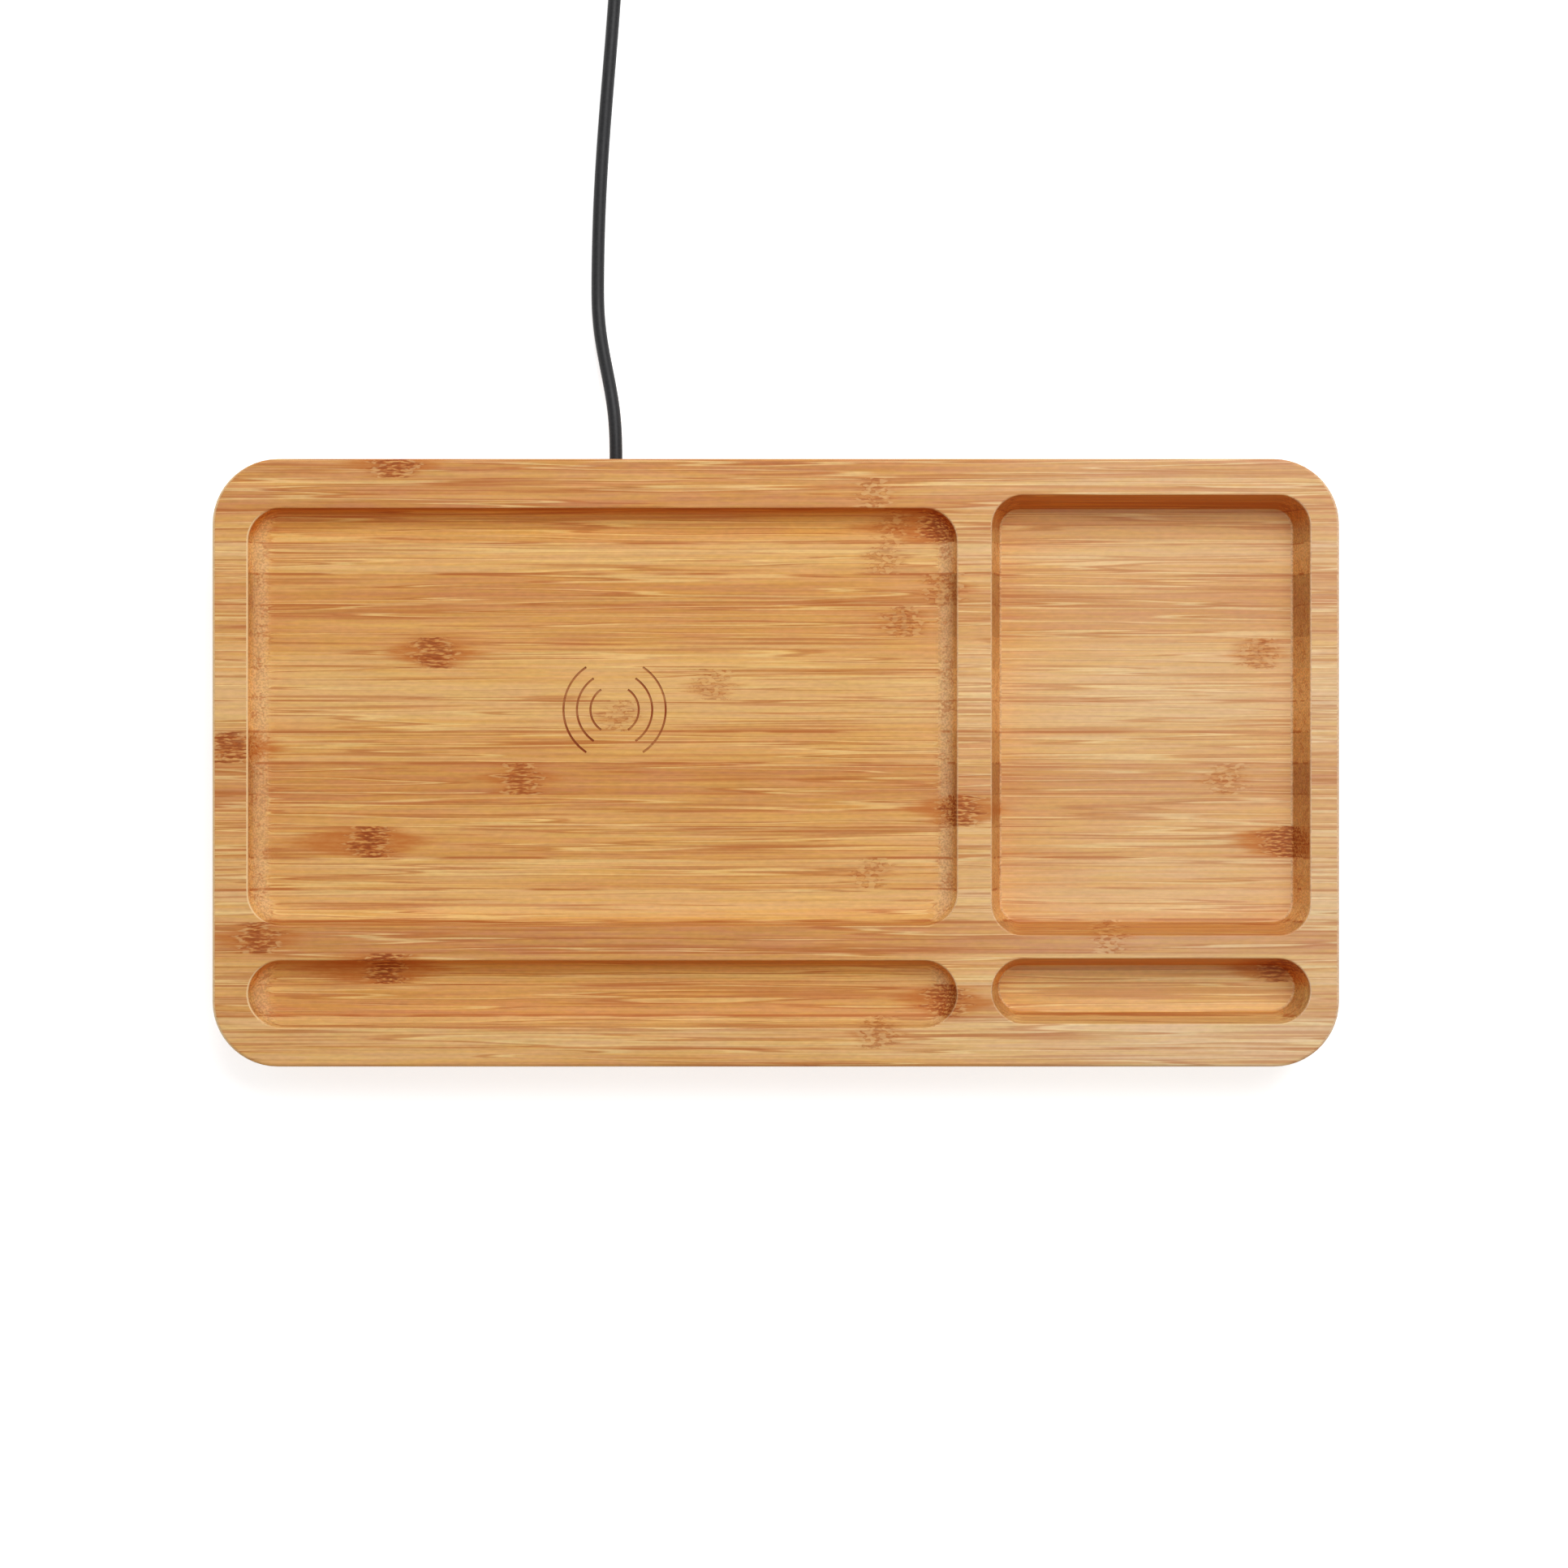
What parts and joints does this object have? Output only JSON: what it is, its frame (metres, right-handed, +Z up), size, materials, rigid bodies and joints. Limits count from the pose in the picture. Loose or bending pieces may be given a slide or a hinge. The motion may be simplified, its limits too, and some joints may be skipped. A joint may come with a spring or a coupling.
{
  "type": "wireless charging tray",
  "caption": "Bamboo desk tray with a wireless charger under its shallow phone pocket, a deep storage pocket, a pen groove, a small slot and a fixed black power lead with a plug.",
  "frame": {"origin": "under the middle of the tray, on the surface that its feet stand on", "axes": "+X along the tray to the storage pocket, +Y to the rear where the lead leaves, +Z up"},
  "size_m": [0.241, 0.296, 0.0192],
  "materials": {
    "bamboo": "satin oiled bamboo, edge-glued strips",
    "cover_plastic": "fine texture",
    "screw_steel": "zinc plated",
    "foot_silicone": "matte",
    "litz_copper": "served copper strands",
    "tape": "adhesive film",
    "ferrite": "sintered",
    "foam": "closed cell foam",
    "board_laminate": "solder mask",
    "chip_resin": "moulded resin",
    "capacitor_ceramic": "fired, tinned ends",
    "capacitor_can": "satin",
    "grommet_rubber": "matte",
    "lead_jacket": "satin jacket",
    "red_insulation": "satin",
    "black_insulation": "satin",
    "tie_strap": "woven strap",
    "plug_grip": "fine texture",
    "shell_steel": "nickel plated",
    "tongue_plastic": "moulded",
    "contact_gold": "gold flash"
  },
  "bodies": {
    "root": {"bamboo_tray": "bamboo", "bottom_cover": "cover_plastic", "cover_screws": "screw_steel", "foot_front_left": "foot_silicone", "foot_front_right": "foot_silicone", "foot_rear_left": "foot_silicone", "foot_rear_right": "foot_silicone", "transmitter_coil": "litz_copper", "coil_tape": "tape", "ferrite_shield": "ferrite", "foam_pad": "foam", "circuit_board": "board_laminate", "controller_chip": "chip_resin", "bridge_transistors": "chip_resin", "resonant_capacitors": "capacitor_ceramic", "input_capacitor": "capacitor_can", "filter_inductor": "ferrite", "small_passives": "capacitor_ceramic", "board_screws": "screw_steel", "cable_clamp": "cover_plastic", "clamp_screws": "screw_steel", "grommet": "grommet_rubber", "lead_inner": "lead_jacket", "red_core": "red_insulation", "black_core": "black_insulation", "lead": "lead_jacket", "lead_coil": "lead_jacket", "lead_tail": "lead_jacket", "cable_tie": "tie_strap", "plug_body": "plug_grip", "plug_shell": "shell_steel", "plug_tongue": "tongue_plastic", "plug_contacts": "contact_gold"}
  },
  "joints": []
}
